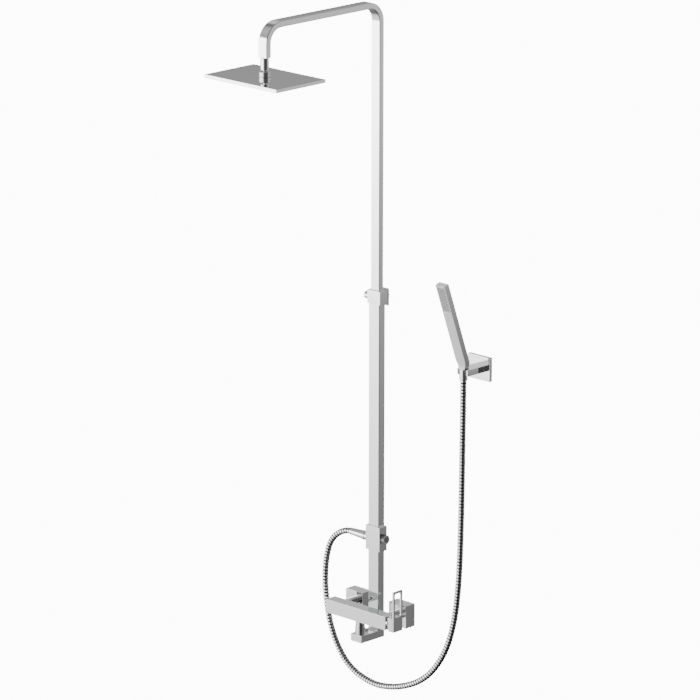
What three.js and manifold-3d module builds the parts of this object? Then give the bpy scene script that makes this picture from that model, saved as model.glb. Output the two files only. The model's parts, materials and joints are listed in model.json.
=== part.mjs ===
// Wall-mounted rainfall shower column: an exposed single-lever mixer between two square wall boxes,
// a rectangular riser with a diverter and a telescopic upper tube, a swivelling rain head, and a
// hand shower on its own wall holder, joined by a metal hose.
// Frame: millimetres, +Z up, +X to the right along the wall, +Y into the wall. The wall is the
// plane Y = 0 and the origin lies midway between the two inlets, on the height of their axes.
import * as THREE from 'three';
import { mergeVertices } from 'three/addons/utils/BufferGeometryUtils.js';
import Module from 'manifold-3d';

const wasm = await Module();
wasm.setup();

// ---------------------------------------------------------------- driving dimensions
const GAP = 0.3;                       // play between touching pieces
const SIDES = 28;                      // facets of a round piece
const FEW_SIDES = 14;                  // facets of a small or hidden round piece

const INLET_SPACING = 150;
const BOX = { size: 59, depth: 32.4, wall: 2.5, hole: 11.2 };
const UNION = { radius: 13.5, bore: 10.3, thread: 9.8, waterway: 6.5, inWall: 18 };

const MIXER = {
  left: -104.5, right: 101.5, y: -87.2, depth: 32, height: 34.8, chamber: 13, chamberDepth: 46,
};
const OUTLET = { radius: 12.9, neckRadius: 11.6, gap: 35 };
const ELBOW = { width: 37.4, front: -102, back: -20, height: 19.3 };

const HANDLE = {
  inner: 109.8, outer: 125.2, plate: 5, loopTop: 87, post: 5.4, windowBottom: 20.5, windowTop: 81.5,
};

const RISER_Y = -30.6;
const LOWER = { width: 35.3, depth: 22.3, wall: 1.5, corner: 2 };
const UPPER = { width: 28.4, depth: 15.8, wall: 1.2, corner: 2.2, foot: 470 };
const ARM = { z: 1534.3, bend: 43, endY: -413.8, endZ: 1458.4 };

const DIVERTER = {
  width: 48, front: -44.5, back: -17.8, bottom: 153.5, top: 217, knobRadius: 12, knobEnd: 34.5, cup: 7.3,
};
const DIVERTER_Z = (DIVERTER.bottom + DIVERTER.top) / 2;

const CLAMP = { width: 44, front: -43, back: -15.8, bottom: 785, top: 819, screwZ: 801, knobRadius: 9.4 };
const CLAMP_PLATE = { front: -15.5, back: -10.3, bottom: 780, top: 823 };

const HEAD = { width: 244, length: 164, top: 1411.7, bottom: 1402.7, wall: 2.6 };
const BALL = { z: 1418.8, radius: 6.6, neck: 4 };
const SWIVEL_NUT = { radius: 14, bottom: 1412.1, top: 1425.4 };

const HOLDER = { x: 322.5, plateWidth: 73, plateDepth: 9.5, plateBottom: 650.5, plateTop: 711 };
const YOKE = { width: 35, bottom: 672, top: 687.5, front: -67, slot: 28, seatY: -62.6 };

const HANDSET = { width: 31, depth: 15, tilt: 0.348, neckTop: 709, neckWidth: 18.6, headLength: 72 };
const HANDSET_TOP = 912;               // height of the middle of its tilted end face
const HOSE_NUT = { radius: 10.3, bottom: 660, top: 687.3 };

const HOSE_RADIUS = 8;
const HOSE_STEPS = 78;
const CONE_NUT = { start: -34.5, end: -88, wide: 11.8, narrow: 9, z: 182 };

// The hose's route, from the cone nut under the diverter to the hand shower's nut.
const HOSE_ROUTE = [
  [-89.6, -30.6, 181.9], [-101, -31, 180.6], [-114, -32, 176.4], [-127, -33, 169.5], [-140, -34.5, 159],
  [-151.5, -36, 144], [-159.5, -37.5, 125], [-164.5, -39, 101], [-166.5, -41, 76], [-166, -43, 51],
  [-163.3, -45, 26], [-158.6, -47, 1], [-151, -49.5, -29], [-140.5, -52, -59], [-124.5, -55.5, -90],
  [-102, -59.5, -119.5], [-73, -63.5, -146], [-38, -67, -164.5], [0, -69.5, -175], [38, -71, -179.5],
  [76, -71.5, -176.5], [112, -71.5, -168.5], [148, -71, -156], [184, -70, -138], [218, -68.5, -112],
  [245, -67, -81], [266, -66, -48], [282, -65, -13], [294.5, -64.2, 28], [304, -63.6, 75],
  [310.5, -63.2, 130], [315, -62.9, 200], [318, -62.7, 290], [319.8, -62.6, 390], [321, -62.6, 490],
  [322, -62.6, 570], [322.5, -62.6, 630], [322.5, -62.6, 659.7],
];

// ---------------------------------------------------------------- finishes
const finish = (color, roughness, metalness) => new THREE.MeshStandardMaterial({ color, roughness, metalness });
const chrome = finish(0xd4d6d8, 0.08, 1);
const satinChrome = finish(0xb9bcbf, 0.3, 1);
const brass = finish(0xb08d4a, 0.35, 1);
const steel = finish(0x9a9c9f, 0.35, 1);
const rubber = finish(0x1d1d1f, 0.8, 0);
const ceramic = finish(0xe6e2da, 0.3, 0);
const whitePlastic = finish(0xe3e3e1, 0.5, 0);
const greyPlastic = finish(0x6f7276, 0.5, 0);
const silicone = finish(0xbfc2c4, 0.6, 0);

// ---------------------------------------------------------------- solids
function solid(geometry) {
  const bare = geometry.index ? geometry.toNonIndexed() : geometry.clone();
  for (const name of Object.keys(bare.attributes)) if (name !== 'position') bare.deleteAttribute(name);
  const merged = mergeVertices(bare, 1e-4);
  return new wasm.Manifold(new wasm.Mesh({
    numProp: 3,
    vertProperties: new Float32Array(merged.attributes.position.array),
    triVerts: new Uint32Array(merged.index.array),
  }));
}

function shape(manifold) {
  const { vertProperties, triVerts } = manifold.getMesh();
  const geometry = new THREE.BufferGeometry();
  geometry.setAttribute('position', new THREE.BufferAttribute(new Float32Array(vertProperties), 3));
  geometry.setIndex(new THREE.BufferAttribute(new Uint32Array(triVerts), 1));
  geometry.computeVertexNormals();
  return geometry;
}

const join = (first, ...others) => shape(others.reduce((sum, g) => sum.add(solid(g)), solid(first)));
const cut = (first, ...others) => shape(others.reduce((rest, g) => rest.subtract(solid(g)), solid(first)));
const common = (first, second) => shape(solid(first).intersect(solid(second)));

const TURN = { x: g => g.rotateY(Math.PI / 2), y: g => g.rotateX(-Math.PI / 2), z: g => g };

// A box given by its two corners.
function box(x0, x1, y0, y1, z0, z1) {
  return new THREE.BoxGeometry(x1 - x0, y1 - y0, z1 - z0).translate((x0 + x1) / 2, (y0 + y1) / 2, (z0 + z1) / 2);
}

// A turned piece about its own axis: profile points are [radius, distance along the axis].
function turned(axis, profile, sides = SIDES) {
  const points = profile.map(([radius, along]) => new THREE.Vector2(radius, along));
  if (THREE.ShapeUtils.isClockWise(points)) points.reverse();
  if (profile[0][0] > 0) points.push(points[0].clone());
  return TURN[axis](new THREE.LatheGeometry(points, sides).rotateX(Math.PI / 2));
}

const rod = (axis, radius, from, to, sides = SIDES) =>
  turned(axis, [[0, from], [radius, from], [radius, to], [0, to]], sides);
const ring = (axis, inner, outer, from, to, sides = SIDES) =>
  turned(axis, [[inner, from], [outer, from], [outer, to], [inner, to]], sides);

function roundedRectangle(width, depth, corner) {
  const [w, d] = [width / 2, depth / 2];
  const outline = new THREE.Shape();
  outline.absarc(w - corner, d - corner, corner, 0, Math.PI / 2);
  outline.absarc(-w + corner, d - corner, corner, Math.PI / 2, Math.PI);
  outline.absarc(-w + corner, -d + corner, corner, Math.PI, Math.PI * 1.5);
  outline.absarc(w - corner, -d + corner, corner, Math.PI * 1.5, Math.PI * 2);
  return outline;
}

// An upright bar of rounded rectangular section.
function bar(width, depth, corner, z0, z1) {
  const options = { depth: z1 - z0, bevelEnabled: false, curveSegments: 3 };
  return new THREE.ExtrudeGeometry(roundedRectangle(width, depth, corner), options).translate(0, 0, z0);
}

// A flat outline in the Y-Z or X-Z plane, given as points, drawn out along the third axis.
function plate(plane, points, from, to) {
  const outline = new THREE.Shape(points.map(([a, b]) => new THREE.Vector2(a, b)));
  const flat = new THREE.ExtrudeGeometry(outline, { depth: to - from, bevelEnabled: false, curveSegments: 6 });
  if (plane === 'yz') return flat.rotateY(Math.PI / 2).rotateX(Math.PI / 2).translate(from, 0, 0);
  return flat.rotateX(Math.PI / 2).translate(0, to, 0);
}

const group = new THREE.Group();

function subassembly(x, y, z, parent = group) {
  const child = new THREE.Group();
  child.position.set(x, y, z);
  parent.add(child);
  return child;
}

function piece(parent, name, geometry, material, x = 0, y = 0, z = 0) {
  const mesh = new THREE.Mesh(geometry, material);
  mesh.name = name;
  mesh.position.set(x, y, z);
  parent.add(mesh);
  return mesh;
}

// ---------------------------------------------------------------- inlets
// Each inlet: a threaded union in the wall, a square box over it, and a round union nut that pulls
// the mixer's tail against a strainer washer.
const mixerBack = MIXER.y + MIXER.depth / 2;
const tailEnd = mixerBack + 14;
const unionEnd = tailEnd + 3;

function inlet(side, x) {
  const at = subassembly(x, 0, 0);
  const half = BOX.size / 2;
  const hollow = half - BOX.wall;
  const cover = cut(
    box(-half, half, -BOX.depth, 0, -half, half),
    box(-hollow, hollow, -BOX.depth + BOX.wall, 1, -hollow, hollow),
    rod('y', BOX.hole, -BOX.depth - 1, 0),
  );
  piece(at, `wall_box_${side}`, cover, chrome);
  const hexRadius = 15;
  const pipe = [
    [UNION.waterway, UNION.inWall], [10.2, UNION.inWall], [10.2, -4], [hexRadius, -4], [hexRadius, -16],
    [UNION.thread, -16], [UNION.thread, unionEnd], [UNION.waterway, unionEnd],
  ];
  piece(at, `wall_union_${side}`, turned('y', pipe, FEW_SIDES), brass);
  const nut = ring('y', UNION.bore, UNION.radius, mixerBack + GAP, -BOX.depth - GAP);
  piece(at, `union_nut_${side}`, nut, chrome);
  const strainer = ring('y', 4, UNION.thread - 0.4, tailEnd + GAP, unionEnd - GAP, FEW_SIDES);
  piece(at, `strainer_washer_${side}`, strainer, rubber);
}
inlet('left', -INLET_SPACING / 2);
inlet('right', INLET_SPACING / 2);

// ---------------------------------------------------------------- mixer
const mixer = subassembly(0, MIXER.y, 0);
const halfHeight = MIXER.height / 2;
const halfDepth = MIXER.depth / 2;
const chamberFloor = MIXER.right - MIXER.chamberDepth;
const outletWay = 6.5;
const outletMid = -halfHeight - OUTLET.gap / 2;

const inletTail = x => rod('y', UNION.thread, halfDepth - 1, tailEnd - MIXER.y, FEW_SIDES).translate(x, 0, 0);
const inletWay = x => rod('y', UNION.waterway, 0, tailEnd - MIXER.y + 1, FEW_SIDES).translate(x, 0, 0);
const mixerBody = cut(
  join(
    box(MIXER.left, MIXER.right, -halfDepth, halfDepth, -halfHeight, halfHeight),
    inletTail(-INLET_SPACING / 2),
    inletTail(INLET_SPACING / 2),
    rod('z', UNION.thread, outletMid + 1.5, -halfHeight + 1, FEW_SIDES),
  ),
  rod('x', MIXER.chamber, chamberFloor, MIXER.right + 1),
  rod('x', 7.5, MIXER.left + 16, chamberFloor + 1, FEW_SIDES),
  inletWay(-INLET_SPACING / 2),
  inletWay(INLET_SPACING / 2),
  rod('z', outletWay, outletMid, 0, FEW_SIDES),
);
piece(mixer, 'mixer_body', mixerBody, chrome);

const sealTop = chamberFloor + 2.2;
const cartridgeEnd = MIXER.right - 3;
piece(mixer, 'cartridge_seal', ring('x', 7, 12, chamberFloor + GAP, sealTop, FEW_SIDES), rubber);
const cartridge = [[0, sealTop + GAP], [12.6, sealTop + GAP], [12.6, cartridgeEnd], [7.6, cartridgeEnd],
  [7.6, cartridgeEnd - 8], [0, cartridgeEnd - 8]];
piece(mixer, 'cartridge', turned('x', cartridge), ceramic);
const nutFace = MIXER.right + GAP;
const neckEnd = 104.8;
const retainer = [[7.8, cartridgeEnd + GAP], [12.6, cartridgeEnd + GAP], [12.6, nutFace], [15, nutFace],
  [15, neckEnd], [7.8, neckEnd]];
piece(mixer, 'cartridge_nut', turned('x', retainer), chrome);

// The carrier turns with the handle for temperature; the lever stem rocks in it for flow.
const carrier = [[4.2, cartridgeEnd - 6], [6.9, cartridgeEnd - 6], [6.9, neckEnd + GAP], [7.4, neckEnd + GAP],
  [7.4, 109.4], [4.2, 109.4]];
piece(mixer, 'cartridge_carrier', turned('x', carrier, FEW_SIDES), brass);

const recess = { radius: 12, floor: 118 };
const flange = 113;
const stem = [[0, 105], [1.9, 105], [1.9, flange], [5, flange], [5, recess.floor - GAP],
  [2.1, recess.floor - GAP], [2.1, flange + 1.5], [0, flange + 1.5]];
piece(mixer, 'lever_stem', turned('x', stem, FEW_SIDES), steel);

const relief = 2;
const handleSide = [[HANDLE.inner, halfHeight], [HANDLE.inner, 2], [HANDLE.inner + 0.3 * relief, -6],
  [HANDLE.inner + relief, -halfHeight], [HANDLE.outer, -halfHeight], [HANDLE.outer, halfHeight]];
const handleBlock = cut(
  plate('xz', handleSide, -halfDepth, halfDepth),
  rod('x', recess.radius, HANDLE.inner - 1, recess.floor),
  rod('x', 2.1, recess.floor - 1, 122, FEW_SIDES),
  rod('x', 4, 121.5, HANDLE.outer + 1, FEW_SIDES),
);
piece(mixer, 'handle_block', handleBlock, chrome);
const screw = [[0, flange + 1.8], [1.8, flange + 1.8], [1.8, 121.8], [3.7, 121.8], [3.7, 124.9],
  [1.4, 124.9], [1.4, 123.2], [0, 123.2]];
piece(mixer, 'handle_screw', turned('x', screw, FEW_SIDES), steel);

const plateInner = HANDLE.outer + GAP;
const loopMiddle = (HANDLE.loopTop - halfHeight) / 2;
const windowMiddle = (HANDLE.windowBottom + HANDLE.windowTop) / 2;
const standing = (outline, middle) => {
  const options = { depth: HANDLE.plate, bevelEnabled: false, curveSegments: 4 };
  return new THREE.ExtrudeGeometry(outline, options).rotateZ(Math.PI / 2).rotateY(Math.PI / 2)
    .translate(plateInner, 0, middle);
};
const windowWidth = MIXER.depth - 2 * HANDLE.post;
const windowHeight = HANDLE.windowTop - HANDLE.windowBottom;
const leverLoop = cut(
  standing(roundedRectangle(MIXER.depth, HANDLE.loopTop + halfHeight, 0.8), loopMiddle),
  standing(roundedRectangle(windowWidth, windowHeight, 4), windowMiddle).translate(-1, 0, 0),
  standing(roundedRectangle(windowWidth, windowHeight, 4), windowMiddle).translate(1, 0, 0),
);
piece(mixer, 'lever_loop', leverLoop, chrome);

// ---------------------------------------------------------------- outlet under the mixer
const elbowTop = -halfHeight - OUTLET.gap;
const elbowBottom = elbowTop - ELBOW.height;
const outletNut = [[UNION.bore, elbowTop + GAP], [OUTLET.radius, elbowTop + GAP], [OUTLET.radius, outletMid + 1],
  [OUTLET.neckRadius, outletMid + 2.4], [OUTLET.neckRadius, -halfHeight - GAP], [UNION.bore, -halfHeight - GAP]];
piece(mixer, 'outlet_nut', turned('z', outletNut), chrome);
const outletWasher = ring('z', 5, UNION.thread - 0.4, outletMid - 1.2, outletMid + 1.2, FEW_SIDES);
piece(mixer, 'outlet_washer', outletWasher, rubber);

const riser = subassembly(0, RISER_Y, 0);
const insideWidth = LOWER.width - 2 * LOWER.wall;
const insideDepth = LOWER.depth - 2 * LOWER.wall;
const [elbowFront, elbowBack] = [ELBOW.front - RISER_Y, ELBOW.back - RISER_Y];
const spigotY = MIXER.y - RISER_Y;
const channelZ = (elbowTop + elbowBottom) / 2;
const riserElbow = cut(
  join(
    box(-ELBOW.width / 2, ELBOW.width / 2, elbowFront, elbowBack, elbowBottom, elbowTop),
    rod('z', UNION.thread, elbowTop - 1, outletMid - 1.5, FEW_SIDES).translate(0, spigotY, 0),
    bar(insideWidth - 2 * GAP, insideDepth - 2 * GAP, 1, elbowTop - 1, elbowTop + 12),
  ),
  rod('z', outletWay, channelZ, 0, FEW_SIDES).translate(0, spigotY, 0),
  rod('z', outletWay, channelZ, 0, FEW_SIDES),
  rod('y', 5.5, spigotY, elbowBack + 1, FEW_SIDES).translate(0, 0, channelZ),
);
piece(riser, 'riser_elbow', riserElbow, chrome);
const plugLength = 6;
const plug = rod('y', 5.2, elbowBack - plugLength, elbowBack - GAP, FEW_SIDES);
piece(riser, 'elbow_plug', plug, brass, 0, 0, channelZ);

// ---------------------------------------------------------------- lower riser and diverter
const socket = 16;
const lowerSection = (z0, z1) => cut(
  bar(LOWER.width, LOWER.depth, LOWER.corner, z0, z1),
  bar(insideWidth, insideDepth, 1, z0 - 1, z1 + 1),
);
const collarSocket = CLAMP.bottom + 8;
piece(riser, 'riser_foot_tube', lowerSection(elbowTop + GAP, DIVERTER.bottom + socket - 2.4), chrome);
piece(riser, 'riser_main_tube', lowerSection(DIVERTER.top - socket + 2.4, collarSocket - GAP), chrome);

const diverter = subassembly(0, 0, DIVERTER_Z, riser);
const [divFront, divBack] = [DIVERTER.front - RISER_Y, DIVERTER.back - RISER_Y];
const halfDiverter = (DIVERTER.top - DIVERTER.bottom) / 2;
const diverterHalfWidth = DIVERTER.width / 2;
const socketBar = (z0, z1) => bar(LOWER.width + 2 * GAP, LOWER.depth + 2 * GAP, LOWER.corner, z0, z1);
const valveBore = 8.4;
const valveFloor = -12;
const hoseTapZ = CONE_NUT.z - DIVERTER_Z;
const diverterBody = cut(
  box(-diverterHalfWidth, diverterHalfWidth, divFront, divBack, -halfDiverter, halfDiverter),
  socketBar(-halfDiverter - 1, -halfDiverter + socket),
  socketBar(halfDiverter - socket, halfDiverter + 1),
  rod('z', 4.5, -halfDiverter, halfDiverter, FEW_SIDES),
  rod('x', valveBore, valveFloor, diverterHalfWidth + 1),
  rod('x', 5, -diverterHalfWidth - 1, valveFloor + 1, FEW_SIDES).translate(0, 0, hoseTapZ),
);
piece(diverter, 'diverter_body', diverterBody, chrome);
for (const [name, z] of [['lower', -halfDiverter + socket - 2.1], ['upper', halfDiverter - socket + GAP]]) {
  const seal = cut(
    bar(LOWER.width, LOWER.depth, LOWER.corner, z, z + 1.8),
    bar(insideWidth, insideDepth, 1, z - 1, z + 3),
  );
  piece(diverter, `riser_seal_${name}`, seal, rubber);
}
const valve = [[0, valveFloor + GAP], [8.1, valveFloor + GAP], [8.1, 20], [3.4, 20], [3.4, 4], [0, 4]];
piece(diverter, 'diverter_cartridge', turned('x', valve, FEW_SIDES), ceramic);
const knobInner = diverterHalfWidth + 0.5;
const knob = [[0, 4 + GAP], [3.1, 4 + GAP], [3.1, knobInner], [DIVERTER.knobRadius - 0.6, knobInner],
  [DIVERTER.knobRadius, knobInner + 0.6], [DIVERTER.knobRadius, DIVERTER.knobEnd - 0.6],
  [DIVERTER.knobRadius - 0.6, DIVERTER.knobEnd], [DIVERTER.cup, DIVERTER.knobEnd],
  [DIVERTER.cup, DIVERTER.knobEnd - 7], [0, DIVERTER.knobEnd - 7]];
piece(diverter, 'diverter_knob', turned('x', knob), chrome);

// ---------------------------------------------------------------- hose outlet and hose
const tap = subassembly(0, 0, hoseTapZ, diverter);
const tapStart = -diverterHalfWidth - GAP;
const tapEnd = CONE_NUT.start - 10;
const hoseTap = [[4.6, tapEnd], [7.2, tapEnd], [7.2, CONE_NUT.start + GAP], [10.6, CONE_NUT.start + GAP],
  [10.6, tapStart], [4.6, tapStart]];
piece(tap, 'hose_tap', turned('x', hoseTap), chrome);
const coneBore = 7.6;
const coneShoulder = CONE_NUT.start - 11;
const coneNut = [[HOSE_RADIUS - 2.6, CONE_NUT.end], [CONE_NUT.narrow, CONE_NUT.end],
  [CONE_NUT.wide - 0.9, coneShoulder], [CONE_NUT.wide, coneShoulder + 0.6],
  [CONE_NUT.wide, CONE_NUT.start], [coneBore, CONE_NUT.start],
  [coneBore, tapEnd - 2.4], [HOSE_RADIUS - 2.6, tapEnd - 2.4]];
piece(tap, 'hose_cone_nut', turned('x', coneNut), chrome);
const lowerWasher = ring('x', 4.6, 7.2, tapEnd - 2.1, tapEnd - GAP, FEW_SIDES);
piece(tap, 'hose_washer_lower', lowerWasher, rubber);

const hosePoints = HOSE_ROUTE.map(point => new THREE.Vector3(...point));
const hosePath = new THREE.CatmullRomCurve3(hosePoints, false, 'centripetal');
const hoseSection = new THREE.Shape();
hoseSection.absarc(0, 0, HOSE_RADIUS, 0, Math.PI * 2);
const hoseOptions = { steps: HOSE_STEPS, extrudePath: hosePath, bevelEnabled: false, curveSegments: 5 };
piece(group, 'shower_hose', new THREE.ExtrudeGeometry(hoseSection, hoseOptions), satinChrome);

// ---------------------------------------------------------------- middle bracket with its clamp
const clamp = subassembly(0, 0, 0, riser);
const halfClamp = CLAMP.width / 2;
const passage = (z0, z1) => bar(UPPER.width + 0.8, UPPER.depth + 0.8, UPPER.corner, z0, z1);
const clampCollar = cut(
  box(-halfClamp, halfClamp, CLAMP.front - RISER_Y, CLAMP.back - RISER_Y, CLAMP.bottom, CLAMP.top),
  socketBar(CLAMP.bottom - 1, collarSocket),
  passage(CLAMP.bottom, CLAMP.top + 1),
  rod('x', 4.3, -halfClamp - 1, -UPPER.width / 2 + 1, FEW_SIDES).translate(0, 0, CLAMP.screwZ),
);
piece(clamp, 'clamp_collar', clampCollar, chrome);
const [plateFront, plateBack] = [CLAMP_PLATE.front - RISER_Y, CLAMP_PLATE.back - RISER_Y];
const clampMiddle = (CLAMP_PLATE.bottom + CLAMP_PLATE.top) / 2;
const backPlate = cut(
  box(-halfClamp, halfClamp, plateFront, plateBack, CLAMP_PLATE.bottom, CLAMP_PLATE.top),
  rod('y', 2.8, plateFront - 1, plateBack + 1, FEW_SIDES).translate(0, 0, clampMiddle),
  rod('y', 4.9, plateFront - 1, plateFront + 3.1, FEW_SIDES).translate(0, 0, clampMiddle),
);
piece(clamp, 'clamp_back_plate', backPlate, chrome);
piece(clamp, 'wall_spacer', ring('y', 2.8, 13, plateBack + GAP, -RISER_Y), satinChrome, 0, 0, clampMiddle);
const wallScrew = [[0, plateFront + 0.2], [4.6, plateFront + 0.2], [4.6, plateFront + 2.8], [2.5, plateFront + 2.8],
  [2.5, 36], [0, 40]];
piece(clamp, 'bracket_screw', turned('y', wallScrew, FEW_SIDES), steel, 0, 0, clampMiddle);

const padFace = -UPPER.width / 2 - GAP;
const clampAxis = subassembly(0, 0, CLAMP.screwZ, clamp);
piece(clampAxis, 'clamp_pad', rod('x', 3.9, padFace - 2.6, padFace, FEW_SIDES), whitePlastic);
const knobStart = -halfClamp - 1;
const knobFace = -39.5;
const screwTip = padFace - 2.6 - GAP;
const clampKnob = [[0, knobFace], [CLAMP.knobRadius - 3, knobFace], [CLAMP.knobRadius, knobFace + 2.4],
  [CLAMP.knobRadius, knobStart - 1], [CLAMP.knobRadius - 1, knobStart], [3.9, knobStart],
  [3.9, screwTip], [0, screwTip]];
piece(clampAxis, 'clamp_knob', turned('x', clampKnob), chrome);

const bush = cut(
  bar(insideWidth - 0.6, insideDepth - 0.6, 1, 742, collarSocket - GAP),
  passage(741, collarSocket + 1),
);
piece(riser, 'guide_bush', bush, whitePlastic);

// ---------------------------------------------------------------- telescopic upper tube and arm
// The path runs up from the foot, round the first bend, out along the arm and down to the open end.
class ArmPath extends THREE.Curve {
  constructor(bendSteps) {
    super();
    const { z, bend, endY, endZ } = ARM;
    const reach = endY - RISER_Y;
    this.stations = [[0, UPPER.foot, 0]];
    for (let i = 0; i <= bendSteps; i++) {
      const angle = (i / bendSteps) * (Math.PI / 2);
      this.stations.push([-bend + bend * Math.cos(angle), z - bend + bend * Math.sin(angle), angle]);
    }
    for (let i = 0; i <= bendSteps; i++) {
      const angle = (i / bendSteps) * (Math.PI / 2);
      this.stations.push([reach + bend - bend * Math.sin(angle), z - bend + bend * Math.cos(angle),
        Math.PI / 2 + angle]);
    }
    this.stations.push([reach, endZ, Math.PI]);
  }

  get steps() { return this.stations.length - 1; }

  getUtoTmapping(u) { return u; }

  at(t) {
    const place = Math.min(t * this.steps, this.steps - 1e-9);
    const index = Math.floor(place);
    const share = place - index;
    return this.stations[index].map((value, k) => value + share * (this.stations[index + 1][k] - value));
  }

  getPoint(t) {
    const [y, z] = this.at(t);
    return new THREE.Vector3(0, y, z);
  }

  getTangent(t) {
    const angle = this.at(t)[2];
    return new THREE.Vector3(0, -Math.sin(angle), Math.cos(angle));
  }
}

function armSweep(width, depth, corner) {
  const path = new ArmPath(7);
  const options = { steps: path.steps, extrudePath: path, bevelEnabled: false, curveSegments: 2 };
  return new THREE.ExtrudeGeometry(roundedRectangle(depth, width, corner), options);
}
const hollowWidth = UPPER.width - 2 * UPPER.wall;
const hollowDepth = UPPER.depth - 2 * UPPER.wall;
const reach = ARM.endY - RISER_Y;
const armTube = cut(
  armSweep(UPPER.width, UPPER.depth, UPPER.corner),
  armSweep(hollowWidth, hollowDepth, 1),
  bar(hollowWidth, hollowDepth, 1, UPPER.foot - 2, UPPER.foot + 5),
  bar(hollowWidth, hollowDepth, 1, ARM.endZ - 2, ARM.endZ + 5).translate(0, reach, 0),
);
piece(riser, 'riser_arm', armTube, chrome);

// The foot of the sliding tube carries a seal that wipes the lower riser's inside.
const sealCarrier = cut(
  join(
    bar(insideWidth - 0.8, insideDepth - 0.8, 1, UPPER.foot - 15, UPPER.foot - GAP),
    bar(hollowWidth - 2 * GAP, hollowDepth - 2 * GAP, 1, UPPER.foot - 2, UPPER.foot + 14),
  ),
  bar(insideWidth, insideDepth, 1, UPPER.foot - 10, UPPER.foot - 6),
);
const sealGroove = cut(
  join(sealCarrier, bar(24, 11, 1, UPPER.foot - 11, UPPER.foot - 5)),
  rod('z', 4, UPPER.foot - 16, UPPER.foot + 15, FEW_SIDES),
);
piece(riser, 'slide_seal_carrier', sealGroove, whitePlastic);
const sealRing = cut(
  bar(insideWidth - 0.6, insideDepth - 0.6, 1, UPPER.foot - 9.7, UPPER.foot - 6.3),
  bar(24 + 2 * GAP, 11 + 2 * GAP, 1, UPPER.foot - 12, UPPER.foot - 4),
);
piece(riser, 'slide_seal', sealRing, rubber);

// ---------------------------------------------------------------- ball joint and rain head
const headJoint = subassembly(0, ARM.endY, 0);
const connectorTop = ARM.endZ - GAP;
const connectorBottom = SWIVEL_NUT.top + 2.8;
const ballProfile = [[0, BALL.z - BALL.radius]];
const ballSteps = 8;
const neckAngle = Math.asin(BALL.neck / BALL.radius);
for (let i = 1; i <= ballSteps; i++) {
  const angle = (i / ballSteps) * (Math.PI - neckAngle);
  ballProfile.push([BALL.radius * Math.sin(angle), BALL.z - BALL.radius * Math.cos(angle)]);
}
ballProfile.push([BALL.neck, connectorBottom], [9.7, connectorBottom], [10.5, connectorBottom + 0.8],
  [10.5, connectorTop], [0, connectorTop]);
const ballConnector = cut(
  join(
    turned('z', ballProfile),
    bar(hollowWidth - 2 * GAP, hollowDepth - 2 * GAP, 1, connectorTop - 1, connectorTop + 22),
  ),
  rod('z', 2.2, BALL.z - BALL.radius - 1, connectorTop + 23, FEW_SIDES),
);
piece(headJoint, 'ball_connector', ballConnector, chrome);

// The slip ring is a spherical band between the ball and the nut's spherical chamber.
const arc = (radius, angles) => angles.map(angle => [radius * Math.sin(angle), BALL.z + radius * Math.cos(angle)]);
const slipInner = BALL.radius + GAP;
const slipOuter = 8.6;
const chamberRadius = slipOuter + GAP;
const band = [0.95, 1.09, 1.23, 1.37, 1.5];
const slipProfile = [...arc(slipInner, band), ...arc(slipOuter, band).reverse()];
piece(headJoint, 'ball_slip_ring', turned('z', slipProfile), whitePlastic);
const nutProfile = [...arc(chamberRadius, [0.905, 1.07, 1.24, 1.41, 1.58]), [11.1, BALL.z - 0.1],
  [11.1, SWIVEL_NUT.bottom], [SWIVEL_NUT.radius, SWIVEL_NUT.bottom], [SWIVEL_NUT.radius, SWIVEL_NUT.top - 2],
  [SWIVEL_NUT.radius - 2, SWIVEL_NUT.top], [7, SWIVEL_NUT.top]];
piece(headJoint, 'swivel_nut', turned('z', nutProfile), chrome);
const seatProfile = [...arc(slipInner, [2.75, 2.45, 2.15, 1.85]), [8.3, BALL.z - 1.8], [8.3, HEAD.top + 0.7],
  [2.6, HEAD.top + 0.7]];
piece(headJoint, 'ball_seat', turned('z', seatProfile), whitePlastic);

const [headW, headL] = [HEAD.width / 2, HEAD.length / 2];
const cavityTop = HEAD.top - 2.4;
const headShell = cut(
  join(
    box(-headW, headW, -headL, headL, HEAD.bottom + 0.2, HEAD.top),
    ring('z', 8.6, 10.8, HEAD.top - 1, BALL.z - 1.2),
  ),
  box(-headW + HEAD.wall, headW - HEAD.wall, -headL + HEAD.wall, headL - HEAD.wall, HEAD.bottom - 1, cavityTop),
  rod('z', 2.4, HEAD.top - 4, HEAD.top + 1, FEW_SIDES),
);
piece(headJoint, 'rain_head_shell', headShell, chrome);
const [plateW, plateL] = [headW - HEAD.wall - GAP, headL - HEAD.wall - GAP];
piece(headJoint, 'nozzle_plate', box(-plateW, plateW, -plateL, plateL, HEAD.bottom, HEAD.bottom + 2), satinChrome);
piece(headJoint, 'nozzle_mat', box(-plateW + 3, plateW - 3, -plateL + 3, plateL - 3, HEAD.bottom + 2.3,
  HEAD.bottom + 4), silicone);

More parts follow.
